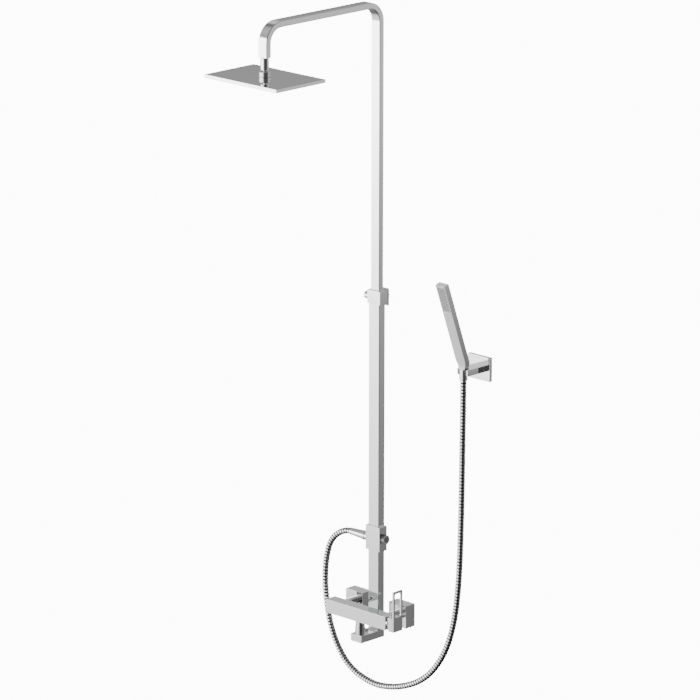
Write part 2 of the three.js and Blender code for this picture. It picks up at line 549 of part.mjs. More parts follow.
// ---------------------------------------------------------------- wall holder
const holder = subassembly(HOLDER.x, 0, 0);
const halfPlate = HOLDER.plateWidth / 2;
const holderMiddle = (YOKE.bottom + YOKE.top) / 2;
const screwX = 25;
const holderPlate = cut(
  box(-halfPlate, halfPlate, -HOLDER.plateDepth, 0, HOLDER.plateBottom, HOLDER.plateTop),
  box(-halfPlate + 3, halfPlate - 3, -HOLDER.plateDepth + 3, 1, HOLDER.plateBottom + 3, HOLDER.plateTop - 3),
  rod('y', 3.3, -HOLDER.plateDepth - 1, 0, FEW_SIDES).translate(0, 0, holderMiddle),
);
piece(holder, 'holder_plate', holderPlate, chrome);
const base = cut(
  box(-halfPlate + 3.4, halfPlate - 3.4, -HOLDER.plateDepth + 4.6, -GAP, HOLDER.plateBottom + 3.4,
    HOLDER.plateTop - 3.4),
  ...[-screwX, screwX].map(x => rod('y', 2.6, -20, 1, FEW_SIDES).translate(x, 0, holderMiddle)),
  rod('y', 2.6, -20, 1, FEW_SIDES).translate(0, 0, holderMiddle),
);
piece(holder, 'holder_base', base, steel);
const screwHead = -HOLDER.plateDepth + 3.3;
for (const [name, x] of [['left', -screwX], ['right', screwX]]) {
  const profile = [[0, screwHead], [4.2, screwHead], [4.2, screwHead + 1], [2.3, screwHead + 1],
    [2.3, 7], [0, 9]];
  piece(holder, `holder_screw_${name}`, turned('y', profile, FEW_SIDES), steel, x, 0, holderMiddle);
}
const slotRadius = YOKE.slot / 2;
const yokeBack = -HOLDER.plateDepth - GAP;
const slotFrom = YOKE.front - 1;
const yoke = cut(
  box(-YOKE.width / 2, YOKE.width / 2, YOKE.front, yokeBack, YOKE.bottom, YOKE.top),
  rod('z', slotRadius, YOKE.bottom - 1, YOKE.top + 1).translate(0, YOKE.seatY, 0),
  box(-slotRadius, slotRadius, slotFrom, YOKE.seatY, YOKE.bottom - 1, YOKE.top + 1),
  rod('y', 2.6, yokeBack - 18, 0, FEW_SIDES).translate(0, 0, holderMiddle),
);
piece(holder, 'holder_yoke', yoke, chrome);
const yokeScrew = [[0, yokeBack - 14], [2.3, yokeBack - 14], [2.3, screwHead], [3.8, screwHead],
  [3.8, screwHead + 1], [0, screwHead + 1]];
piece(holder, 'yoke_screw', turned('y', yokeScrew, FEW_SIDES), steel, 0, 0, holderMiddle);
const linerRadius = slotRadius - GAP;
const throat = 10.9;
const liner = cut(
  join(
    rod('z', linerRadius, YOKE.bottom + 0.5, YOKE.top - 0.4).translate(0, YOKE.seatY, 0),
    box(-linerRadius, linerRadius, YOKE.front + 3, YOKE.seatY, YOKE.bottom + 0.5, YOKE.top - 0.4),
  ),
  rod('z', throat, YOKE.bottom - 1, YOKE.top + 1).translate(0, YOKE.seatY, 0),
  box(-throat, throat, slotFrom, YOKE.seatY, YOKE.bottom - 1, YOKE.top + 1),
  box(-slotRadius, slotRadius, YOKE.front - 20, YOKE.front + 0.5, YOKE.bottom - 1, YOKE.top + 1),
);
piece(holder, 'yoke_liner', liner, greyPlastic);

// ---------------------------------------------------------------- hand shower
// A flat stick on a short upright neck, leaning out from the wall.
const handset = subassembly(HOLDER.x, YOKE.seatY, 0);
const neckBottom = HOSE_NUT.top + GAP;
const halfStick = HANDSET.depth / 2;
const lean = { y: -Math.sin(HANDSET.tilt), z: Math.cos(HANDSET.tilt) };
const across = { y: Math.cos(HANDSET.tilt), z: Math.sin(HANDSET.tilt) };
const bendZ = neckBottom + 12;
const stickLength = (HANDSET_TOP - bendZ) / lean.z;
const end = [lean.y * stickLength, bendZ + lean.z * stickLength];
const onStick = (along, side) => [
  lean.y * along + across.y * side * halfStick,
  bendZ + lean.z * along + across.z * side * halfStick,
];
const sideView = [
  [-halfStick, neckBottom], [halfStick, neckBottom], [halfStick, bendZ + across.z * halfStick * 0.4],
  onStick(stickLength, 1), onStick(stickLength, -1), [-halfStick, bendZ - across.z * halfStick * 0.4],
];
const halfNeck = HANDSET.neckWidth / 2;
const halfWide = HANDSET.width / 2;
const frontView = [[-halfNeck, neckBottom - 1], [halfNeck, neckBottom - 1], [halfWide, HANDSET.neckTop],
  [halfWide, end[1] + 20], [-halfWide, end[1] + 20], [-halfWide, HANDSET.neckTop]];
const frontDepth = 140;
const stick = common(
  plate('yz', sideView, -halfWide, halfWide),
  plate('xz', frontView, -frontDepth, halfStick + 5),
);
const tilted = (geometry, along, outwards) => geometry.rotateX(HANDSET.tilt)
  .translate(0, lean.y * along - across.y * outwards, bendZ + lean.z * along - across.z * outwards);
const faceMiddle = stickLength - HANDSET.headLength / 2 - 3;
const faceDepth = 2;
const facePocket = (play, depth) => tilted(
  new THREE.BoxGeometry(HANDSET.width - 5 + play, depth, HANDSET.headLength + play), faceMiddle,
  halfStick - faceDepth + depth / 2,
);
const waterLength = stickLength - 12;
const nutWall = 2;
const spigotEnd = HOSE_NUT.bottom + 6.8;
const spigot = rod('z', HOSE_NUT.radius - nutWall - GAP, spigotEnd, neckBottom + 1, FEW_SIDES);
const stickBody = cut(
  join(stick, spigot),
  facePocket(2 * GAP, faceDepth + 4),
  tilted(new THREE.BoxGeometry(12, 6.5, waterLength), waterLength / 2 + 3, 0),
  rod('z', 3, spigotEnd - 1, bendZ + 6, FEW_SIDES),
  tilted(new THREE.BoxGeometry(12, 8, HANDSET.headLength - 16), faceMiddle, halfStick - faceDepth - 2),
);
piece(handset, 'handset_body', stickBody, chrome);
piece(handset, 'handset_spray_face', facePocket(0, faceDepth), satinChrome);

const handNut = [[HOSE_NUT.radius - nutWall, HOSE_NUT.top], [HOSE_NUT.radius - nutWall, HOSE_NUT.bottom + 4],
  [HOSE_RADIUS - 3, HOSE_NUT.bottom + 4], [HOSE_RADIUS - 3, HOSE_NUT.bottom],
  [HOSE_NUT.radius - 1, HOSE_NUT.bottom],
  [HOSE_NUT.radius, HOSE_NUT.bottom + 1.4], [HOSE_NUT.radius, HOSE_NUT.top]];
piece(handset, 'hose_nut', turned('z', handNut), chrome);
const washerRadius = HOSE_NUT.radius - nutWall - GAP;
const upperWasher = ring('z', 4, washerRadius, HOSE_NUT.bottom + 4.3, HOSE_NUT.bottom + 6.5, FEW_SIDES);
piece(handset, 'hose_washer_upper', upperWasher, rubber);

export default group;
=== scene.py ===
"""A wall-mounted rainfall shower column in polished chrome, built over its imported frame."""
import json
import math

import bmesh
import bpy
from mathutils import Matrix, Vector


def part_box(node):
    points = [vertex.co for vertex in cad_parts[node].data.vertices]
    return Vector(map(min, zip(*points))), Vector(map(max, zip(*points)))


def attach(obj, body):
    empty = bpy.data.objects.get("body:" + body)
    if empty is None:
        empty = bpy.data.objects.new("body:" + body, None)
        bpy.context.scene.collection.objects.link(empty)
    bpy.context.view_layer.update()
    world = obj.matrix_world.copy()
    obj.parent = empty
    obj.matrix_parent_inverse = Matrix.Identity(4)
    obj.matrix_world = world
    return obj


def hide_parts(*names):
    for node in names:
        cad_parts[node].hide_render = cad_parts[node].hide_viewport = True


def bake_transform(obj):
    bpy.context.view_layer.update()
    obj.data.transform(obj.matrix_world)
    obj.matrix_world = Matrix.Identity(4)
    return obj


bl_info = {
    "name": "Rainfall Shower Column",
    "version": (1, 0, 0),
    "blender": (4, 5, 0),
    "location": "View3D > Sidebar > Shower",
    "description": "Builds a chrome shower column with a rain head, a hand shower and its hose",
    "category": "Add Mesh",
}

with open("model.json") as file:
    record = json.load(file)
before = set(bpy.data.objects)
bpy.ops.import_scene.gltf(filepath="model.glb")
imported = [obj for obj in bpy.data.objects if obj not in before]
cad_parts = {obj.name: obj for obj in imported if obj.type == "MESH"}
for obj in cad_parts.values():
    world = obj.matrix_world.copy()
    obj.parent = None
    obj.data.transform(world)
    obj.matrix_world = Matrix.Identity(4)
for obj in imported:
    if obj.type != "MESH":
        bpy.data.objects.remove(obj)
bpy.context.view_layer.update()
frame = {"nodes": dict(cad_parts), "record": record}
PLAY = 0.0003                      # gap between pieces that touch
ON_AXIS = 1e-7                     # radii under this lie on the axis of a turned piece
TILT = 0.348                       # lean of the hand shower, in radians
STEM_INSIDE = 0.022                # how far the ball connector reaches up into the arm
UNION_BORE = 0.0103


def middle(node):
    """The centre of a CAD node's box."""
    low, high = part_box(node)
    return [(a + b) / 2 for a, b in zip(low, high)]


RISER_Y = middle("riser_main_tube")[1]
ARM_Y = middle("ball_connector")[1]
HOLDER_X = middle("holder_plate")[0]
SEAT_Y = middle("hose_nut")[1]
HOSE_DIAMETER = 0.016

# The hose's route, from the cone nut beside the diverter to the hand shower's nut.
HOSE_ROUTE = [
    (-0.0896, -0.0306, 0.1819), (-0.101, -0.031, 0.1806), (-0.114, -0.032, 0.1764), (-0.127, -0.033, 0.1695),
    (-0.14, -0.0345, 0.159), (-0.1515, -0.036, 0.144), (-0.1595, -0.0375, 0.125), (-0.1645, -0.039, 0.101),
    (-0.1665, -0.041, 0.076), (-0.166, -0.043, 0.051), (-0.1633, -0.045, 0.026), (-0.1586, -0.047, 0.001),
    (-0.151, -0.0495, -0.029), (-0.1405, -0.052, -0.059), (-0.1245, -0.0555, -0.09),
    (-0.102, -0.0595, -0.1195),
    (-0.073, -0.0635, -0.146), (-0.038, -0.067, -0.1645), (0.0, -0.0695, -0.175), (0.038, -0.071, -0.1795),
    (0.076, -0.0715, -0.1765), (0.112, -0.0715, -0.1685), (0.148, -0.071, -0.156), (0.184, -0.07, -0.138),
    (0.218, -0.0685, -0.112), (0.245, -0.067, -0.081), (0.266, -0.066, -0.048), (0.282, -0.065, -0.013),
    (0.2945, -0.0642, 0.028), (0.304, -0.0636, 0.075), (0.3105, -0.0632, 0.13), (0.315, -0.0629, 0.2),
    (0.318, -0.0627, 0.29), (0.3198, -0.0626, 0.39), (0.321, -0.0626, 0.49), (0.322, -0.0626, 0.57),
    (0.3225, -0.0626, 0.63), (0.3225, -0.0626, 0.6597),
]


# ------------------------------------------------------------------ settings
class ShowerFinishes(bpy.types.PropertyGroup):
    """Colours and gloss of the column's materials."""

    chrome: bpy.props.FloatVectorProperty(
        name="Chrome", description="Reflection colour of the polished plating", subtype="COLOR",
        size=3, min=0, max=1, default=(0.9, 0.905, 0.91))
    chrome_roughness: bpy.props.FloatProperty(
        name="Chrome roughness", description="Blur of the polished plating", default=0.045,
        min=0, max=1, subtype="FACTOR")
    satin: bpy.props.FloatVectorProperty(
        name="Satin metal", description="Colour of the hose and the spray faces", subtype="COLOR",
        size=3, min=0, max=1, default=(0.78, 0.785, 0.8))
    brass: bpy.props.FloatVectorProperty(
        name="Brass", description="Colour of the unplated fittings", subtype="COLOR",
        size=3, min=0, max=1, default=(0.7, 0.5, 0.22))
    liner: bpy.props.FloatVectorProperty(
        name="Liner", description="Colour of the plastic liner in the holder", subtype="COLOR",
        size=3, min=0, max=1, default=(0.13, 0.135, 0.14))
    silicone: bpy.props.FloatVectorProperty(
        name="Silicone", description="Colour of the nozzles", subtype="COLOR",
        size=3, min=0, max=1, default=(0.17, 0.175, 0.18))


class ShowerSizes(bpy.types.PropertyGroup):
    """Fine sizes that the frame doesn't hold."""

    edge: bpy.props.FloatProperty(
        name="Edge radius", description="Rounding of the blocks' edges", default=0.0006, unit="LENGTH")
    link_pitch: bpy.props.FloatProperty(
        name="Hose link pitch", description="Length of one link of the metal hose", default=0.0082,
        unit="LENGTH")
    link_groove: bpy.props.FloatProperty(
        name="Hose groove", description="Depth of the groove between two links", default=0.0014,
        unit="LENGTH")
    rain_columns: bpy.props.IntProperty(
        name="Rain nozzle columns", description="Nozzles across the rain head", default=14, min=2)
    rain_rows: bpy.props.IntProperty(
        name="Rain nozzle rows", description="Nozzles along the rain head", default=9, min=2)
    hand_columns: bpy.props.IntProperty(
        name="Hand nozzle columns", description="Nozzles across the hand shower", default=5, min=2)
    hand_rows: bpy.props.IntProperty(
        name="Hand nozzle rows", description="Nozzles along the hand shower", default=14, min=2)


class ShowerStage(bpy.types.PropertyGroup):
    """Camera, floor and soft light."""

    azimuth: bpy.props.FloatProperty(
        name="Azimuth", description="Where the camera stands round the column", default=0.78353,
        subtype="ANGLE")
    pitch: bpy.props.FloatProperty(
        name="Pitch", description="How far the camera looks down", default=0.26269, subtype="ANGLE")
    position: bpy.props.FloatVectorProperty(
        name="Position", description="Camera position", default=(8.62356, -8.87741, 4.05933),
        subtype="TRANSLATION")
    lens: bpy.props.FloatProperty(name="Lens", description="Focal length in millimetres", default=268.37)
    shift: bpy.props.FloatVectorProperty(
        name="Shift", description="Lens shift", size=2, default=(0.04, -0.04))
    floor_drop: bpy.props.FloatProperty(
        name="Floor drop", description="Floor height under the column's inlets", default=0.9, unit="LENGTH")
    backdrop: bpy.props.FloatProperty(
        name="Backdrop", description="Brightness behind the column", default=12.0)


# ------------------------------------------------------------------ node helpers
def math_node(tree, operation, a, b=None):
    """A Math node whose inputs are numbers or sockets, and its result socket."""
    node = tree.nodes.new("ShaderNodeMath")
    node.operation = operation
    for socket, value in zip(node.inputs, (a, b)):
        if isinstance(value, bpy.types.NodeSocket):
            tree.links.new(value, socket)
        elif value is not None:
            socket.default_value = value
    return node.outputs[0]


def surface_group(name, scale, detail):
    """A shared effect: fine variation of a surface, from object coordinates."""
    if name in bpy.data.node_groups:
        return bpy.data.node_groups[name]
    group = bpy.data.node_groups.new(name, "ShaderNodeTree")
    faces = group.interface
    for label, default in (("Scale", scale), ("Low", 0.0), ("High", 1.0)):
        faces.new_socket(label, in_out="INPUT", socket_type="NodeSocketFloat").default_value = default
    faces.new_socket("Mask", in_out="OUTPUT", socket_type="NodeSocketFloat")
    faces.new_socket("Range", in_out="OUTPUT", socket_type="NodeSocketFloat")
    entry = group.nodes.new("NodeGroupInput")
    out = group.nodes.new("NodeGroupOutput")
    coords = group.nodes.new("ShaderNodeTexCoord")
    broad = group.nodes.new("ShaderNodeTexNoise")
    broad.inputs["Detail"].default_value = detail
    fine = group.nodes.new("ShaderNodeTexNoise")
    fine.inputs["Detail"].default_value = 2.0
    group.links.new(coords.outputs["Object"], broad.inputs["Vector"])
    group.links.new(coords.outputs["Object"], fine.inputs["Vector"])
    group.links.new(entry.outputs["Scale"], broad.inputs["Scale"])
    group.links.new(math_node(group, "MULTIPLY", entry.outputs["Scale"], 9.0), fine.inputs["Scale"])
    mask = math_node(group, "ADD", math_node(group, "MULTIPLY", broad.outputs[0], 0.65),
                     math_node(group, "MULTIPLY", fine.outputs[0], 0.35))
    spread = group.nodes.new("ShaderNodeMapRange")
    spread.inputs["From Min"].default_value = 0.3
    spread.inputs["From Max"].default_value = 0.7
    group.links.new(mask, spread.inputs["Value"])
    group.links.new(entry.outputs["Low"], spread.inputs["To Min"])
    group.links.new(entry.outputs["High"], spread.inputs["To Max"])
    group.links.new(mask, out.inputs["Mask"])
    group.links.new(spread.outputs[0], out.inputs["Range"])
    return group


def material(name, color, roughness, metallic, scale=40.0, tint=0.04, relief=0.0, spread=0.03):
    """A surface whose colour, gloss and relief vary slightly over the piece."""
    if name in bpy.data.materials:
        return bpy.data.materials[name]
    made = bpy.data.materials.new(name)
    made.use_nodes = True
    tree = made.node_tree
    shader = tree.nodes["Principled BSDF"]
    shader.inputs["Metallic"].default_value = metallic
    varied = tree.nodes.new("ShaderNodeGroup")
    varied.node_tree = surface_group("surface variation", 40.0, 4.0)
    varied.inputs["Scale"].default_value = scale
    varied.inputs["Low"].default_value = max(roughness - spread, 0.01)
    varied.inputs["High"].default_value = roughness + spread
    tree.links.new(varied.outputs["Range"], shader.inputs["Roughness"])
    mix = tree.nodes.new("ShaderNodeMix")
    mix.data_type = "RGBA"
    mix.inputs["A"].default_value = (*[c * (1 - tint) for c in color], 1)
    mix.inputs["B"].default_value = (*[min(1, c * (1 + tint)) for c in color], 1)
    tree.links.new(varied.outputs["Mask"], mix.inputs["Factor"])
    tree.links.new(mix.outputs["Result"], shader.inputs["Base Color"])
    if relief:
        bump = tree.nodes.new("ShaderNodeBump")
        bump.inputs["Strength"].default_value = 0.5
        bump.inputs["Distance"].default_value = relief
        tree.links.new(varied.outputs["Mask"], bump.inputs["Height"])
        tree.links.new(bump.outputs["Normal"], shader.inputs["Normal"])
    return made


def link_material():
    """The hose's metal, with painted shade: a near-black colour down in the grooves between its links."""
    made = material("hose metal", bpy.context.scene.shower_finishes.satin, 0.14, 1, 300, 0.04, 0.0, 0.04)
    tree = made.node_tree
    if "groove shade" in tree.nodes:
        return made
    shader = tree.nodes["Principled BSDF"]
    crown = tree.nodes.new("ShaderNodeAttribute")
    crown.attribute_name = "crown"
    shade = tree.nodes.new("ShaderNodeMix")
    shade.name = "groove shade"
    shade.data_type = "RGBA"
    # painted shade: the grooves get this near-black colour, while the links' crowns keep the metal's colour
    shade.inputs["A"].default_value = (0.03, 0.03, 0.033, 1)
    tree.links.new(shader.inputs["Base Color"].links[0].from_socket, shade.inputs["B"])
    lit = tree.nodes.new("ShaderNodeMapRange")
    lit.inputs["From Min"].default_value = 0.3
    lit.inputs["From Max"].default_value = 0.8
    tree.links.new(crown.outputs["Fac"], lit.inputs["Value"])
    tree.links.new(lit.outputs[0], shade.inputs["Factor"])
    tree.links.new(shade.outputs["Result"], shader.inputs["Base Color"])
    return made


def finishes():
    """The record's material slots and what each is made of."""
    own = bpy.context.scene.shower_finishes
    return {
        "polished_chrome": material(
            "polished chrome", own.chrome, own.chrome_roughness, 1, 14, 0.015, 0, 0.012),
        "satin_metal": material("satin metal", own.satin, 0.2, 1, 300, 0.05, 0.00001, 0.05),
        "raw_brass": material("raw brass", own.brass, 0.34, 1, 90, 0.15, 0.00003, 0.1),
        "screw_steel": material("stainless screw", (0.56, 0.57, 0.58), 0.3, 1, 160, 0.08, 0.00002, 0.08),
        "seal_rubber": material("seal rubber", (0.02, 0.02, 0.022), 0.7, 0, 500, 0.2, 0.00004, 0.1),
        "ceramic_body": material("cartridge ceramic", (0.72, 0.7, 0.64), 0.28, 0, 120, 0.05, 0.00001, 0.06),
        "white_plastic": material(
            "white guide plastic", (0.74, 0.74, 0.72), 0.45, 0, 260, 0.05, 0.00002, 0.08),
        "grey_liner": material("grey liner plastic", own.liner, 0.42, 0, 400, 0.1, 0.00003, 0.08),
        "silicone_mat": material("nozzle silicone", own.silicone, 0.55, 0, 500, 0.08, 0.00003, 0.08),
    }


# ------------------------------------------------------------------ mesh helpers
def finish_of(node):
    """The material slot that the record gives a CAD node."""
    for entry in frame["record"]["subparts"]:
        if entry["node"] == node:
            return entry["material_slot"]
    raise RuntimeError(f"the record has no material slot for {node}")


def body_with(node):
    """The body that a CAD node belongs to."""
    for body, nodes in frame["record"]["behaviour"]["bodies"].items():
        if node in nodes:
            return body
    raise RuntimeError(f"no body holds {node}")


def place(name, mesh, node, replaced=True, slot=None):
    """Makes a finished piece of a mesh, which goes with one CAD node."""
    slot = slot or finish_of(node)
    mesh.materials.clear()
    mesh.materials.append(finishes()[slot])
    mesh.shade_smooth()
    piece = bpy.data.objects.new(name, mesh)
    bpy.context.scene.collection.objects.link(piece)
    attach(piece, body_with(node))
    if replaced:
        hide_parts(node)
    return piece


def even_shading(piece):
    """Flat faces stay flat beside their rounded edges."""
    piece.modifiers.new("even shading", "WEIGHTED_NORMAL").keep_sharp = True


def softened(name, node, edge=1.0, angle=28.0):
    """A CAD node's form with rounded edges that catch the light."""
    mesh = frame["nodes"][node].data.copy()
    mesh.name = name
    shell = bmesh.new()
    shell.from_mesh(mesh)
    bmesh.ops.remove_doubles(shell, verts=shell.verts, dist=1e-6)
    bmesh.ops.dissolve_limit(shell, angle_limit=math.radians(0.6), verts=shell.verts, edges=shell.edges)
    shell.to_mesh(mesh)
    shell.free()
    piece = place(name, mesh, node)
    bevel = piece.modifiers.new("rounded edges", "BEVEL")
    bevel.width = bpy.context.scene.shower_sizes.edge * edge
    bevel.segments = 3
    bevel.limit_method = "ANGLE"
    bevel.angle_limit = math.radians(angle)
    bevel.use_clamp_overlap = False
    even_shading(piece)
    return piece


def filleted(profile, radius, steps=4):
    """A closed outline whose corners are rounded, apart from those on the axis."""
    result = []
    count = len(profile)
    for i, corner in enumerate(profile):
        here = Vector(corner)
        before = Vector(profile[i - 1]) - here
        after = Vector(profile[(i + 1) % count]) - here
        reach = min(radius, 0.45 * before.length, 0.45 * after.length)
        if corner[0] < ON_AXIS or reach < 2e-5:
            result.append(tuple(corner))
            continue
        start = here + before.normalized() * reach
        end = here + after.normalized() * reach
        for k in range(steps + 1):
            t = k / steps
            point = start * (1 - t) ** 2 + here * 2 * t * (1 - t) + end * t ** 2
            result.append((point.x, point.y))
    return result


AXES = {
    "x": lambda r, a, c, s: (a, r * c, r * s),
    "y": lambda r, a, c, s: (r * s, a, r * c),
    "z": lambda r, a, c, s: (r * c, r * s, a),
}


def turned(name, node, axis, centre, profile, round_off=0.0004, slot=None):
    """A turned piece. The profile is [radius, distance along the axis] in metres, about the centre.

    It replaces its CAD node, unless it has a slot of its own: then it is a detail on that node.
    """
    sides = 72
    outline = filleted(profile, round_off)
    shell = bmesh.new()
    rings = []
    for radius, along in outline:
        if radius < ON_AXIS:
            spots = [(1, 0)]
        else:
            angles = [2 * math.pi * k / sides for k in range(sides)]
            spots = [(math.cos(angle), math.sin(angle)) for angle in angles]
        rings.append([
            shell.verts.new(Vector(AXES[axis](radius, along, c, s)) + Vector(centre)) for c, s in spots])
    for first, second in zip(rings, rings[1:] + rings[:1]):
        if len(first) == 1 and len(second) == 1:
            continue
        for k in range(sides):
            corners = [first[k % len(first)], first[(k + 1) % len(first)],
                       second[(k + 1) % len(second)], second[k % len(second)]]
            shell.faces.new(list(dict.fromkeys(corners)))
    bmesh.ops.recalc_face_normals(shell, faces=shell.faces)
    mesh = bpy.data.meshes.new(name)
    shell.to_mesh(mesh)
    shell.free()
    piece = place(name, mesh, node, replaced=slot is None, slot=slot)
    even_shading(piece)
    return piece


def rounded_section(width, depth, corner, steps=6):
    """The points of a rounded rectangle, anticlockwise."""
    points = []
    for turn, (sx, sy) in enumerate(((1, 1), (-1, 1), (-1, -1), (1, -1))):
        for k in range(steps + 1):
            angle = (turn + k / steps) * math.pi / 2
            points.append((sx * (width / 2 - corner) + corner * math.cos(angle),
                           sy * (depth / 2 - corner) + corner * math.sin(angle)))
    return points


def tube_along(name, node, stations, width, depth, corner, wall):
    """A hollow bar of rounded rectangular section along stations (y, z, tangent angle)."""
    outer = rounded_section(width, depth, corner)
    inner = rounded_section(width - 2 * wall, depth - 2 * wall, max(corner - wall, 0.0005))
    shell = bmesh.new()

    def loop(section, y, z, angle):
        return [shell.verts.new((u, y + v * math.cos(angle), z + v * math.sin(angle))) for u, v in section]

    outside = [loop(outer, *station) for station in stations]
    inside = [loop(inner, *station) for station in stations]
    count = len(outer)
    for skin in (outside, inside):
        for lower, upper in zip(skin, skin[1:]):
            for k in range(count):
                n = (k + 1) % count
                shell.faces.new((lower[k], lower[n], upper[n], upper[k]))
    for out_end, in_end in ((outside[0], inside[0]), (outside[-1], inside[-1])):
        for k in range(count):
            n = (k + 1) % count
            shell.faces.new((out_end[k], out_end[n], in_end[n], in_end[k]))
    bmesh.ops.recalc_face_normals(shell, faces=shell.faces)
    mesh = bpy.data.meshes.new(name)
    shell.to_mesh(mesh)
    shell.free()
    piece = place(name, mesh, node)
    bevel = piece.modifiers.new("cut edges", "BEVEL")
    bevel.width = 0.0003
    bevel.segments = 2
    bevel.limit_method = "ANGLE"
    bevel.angle_limit = math.radians(60)
    even_shading(piece)
    return piece


def new_tree(name, sockets):
    """A geometry tree with a geometry output and named inputs, and its input and output nodes."""
    tree = bpy.data.node_groups.new(name, "GeometryNodeTree")
    tree.interface.new_socket("Geometry", in_out="INPUT", socket_type="NodeSocketGeometry")
    for label, kind, default in sockets:
        tree.interface.new_socket(label, in_out="INPUT", socket_type=kind).default_value = default
    tree.interface.new_socket("Geometry", in_out="OUTPUT", socket_type="NodeSocketGeometry")
    return tree, tree.nodes.new("NodeGroupInput"), tree.nodes.new("NodeGroupOutput")


def grown(name, base, tree, values):
    """Runs a geometry tree on a base object and returns the result as a plain mesh."""
    modifier = base.modifiers.new("build", "NODES")
    modifier.node_group = tree
    for item in tree.interface.items_tree:
        if item.in_out == "INPUT" and item.name in values:
            modifier[item.identifier] = values[item.name]
    bpy.context.view_layer.update()
    depsgraph = bpy.context.evaluated_depsgraph_get()
    mesh = bpy.data.meshes.new_from_object(base.evaluated_get(depsgraph))
    mesh.name = name
    bpy.data.objects.remove(base)
    if not mesh.polygons:
        raise RuntimeError(f"{name} came out empty")
    return mesh


def end_tree(tree, geometry, finish, out):
    """Every tree ends in Realize Instances and Set Material."""
    real = tree.nodes.new("GeometryNodeRealizeInstances")
    paint = tree.nodes.new("GeometryNodeSetMaterial")
    paint.inputs["Material"].default_value = finish
    tree.links.new(geometry, real.inputs["Geometry"])
    tree.links.new(real.outputs["Geometry"], paint.inputs["Geometry"])
    tree.links.new(paint.outputs["Geometry"], out.inputs["Geometry"])


def nozzle_field(name, node, columns, rows, width, length, place_at, tilt, radius, height):
    """A grid of soft nozzles on a spray face."""
    tree, entry, out = new_tree(name + " grid", (
        ("Width", "NodeSocketFloat", 0.1), ("Length", "NodeSocketFloat", 0.1),
        ("Columns", "NodeSocketInt", 4), ("Rows", "NodeSocketInt", 4),
        ("Radius", "NodeSocketFloat", 0.001), ("Height", "NodeSocketFloat", 0.001),
        ("Place", "NodeSocketVector", (0, 0, 0)), ("Tilt", "NodeSocketVector", (0, 0, 0))))
    grid = tree.nodes.new("GeometryNodeMeshGrid")
    for ours, theirs in (
            ("Width", "Size X"), ("Length", "Size Y"), ("Columns", "Vertices X"), ("Rows", "Vertices Y")):
        tree.links.new(entry.outputs[ours], grid.inputs[theirs])
    cone = tree.nodes.new("GeometryNodeMeshCone")
    cone.inputs["Vertices"].default_value = 12
    cone.inputs["Side Segments"].default_value = 2
    tree.links.new(entry.outputs["Radius"], cone.inputs["Radius Bottom"])
    tree.links.new(math_node(tree, "MULTIPLY", entry.outputs["Radius"], 0.6), cone.inputs["Radius Top"])
    tree.links.new(entry.outputs["Height"], cone.inputs["Depth"])
    spread = tree.nodes.new("GeometryNodeInstanceOnPoints")
    tree.links.new(grid.outputs["Mesh"], spread.inputs["Points"])
    tree.links.new(cone.outputs["Mesh"], spread.inputs["Instance"])
    move = tree.nodes.new("GeometryNodeTransform")
    tree.links.new(spread.outputs["Instances"], move.inputs["Geometry"])
    tree.links.new(entry.outputs["Place"], move.inputs["Translation"])
    tree.links.new(entry.outputs["Tilt"], move.inputs["Rotation"])
    end_tree(tree, move.outputs["Geometry"], finishes()["silicone_mat"], out)
    base = bpy.data.objects.new(name + " base", bpy.data.meshes.new(name + " base"))
    bpy.context.scene.collection.objects.link(base)
    mesh = grown(name, base, tree, {
        "Width": width, "Length": length, "Columns": columns, "Rows": rows, "Radius": radius,
        "Height": height, "Place": place_at, "Tilt": tilt})
    return place(name, mesh, node, replaced=False, slot="silicone_mat")


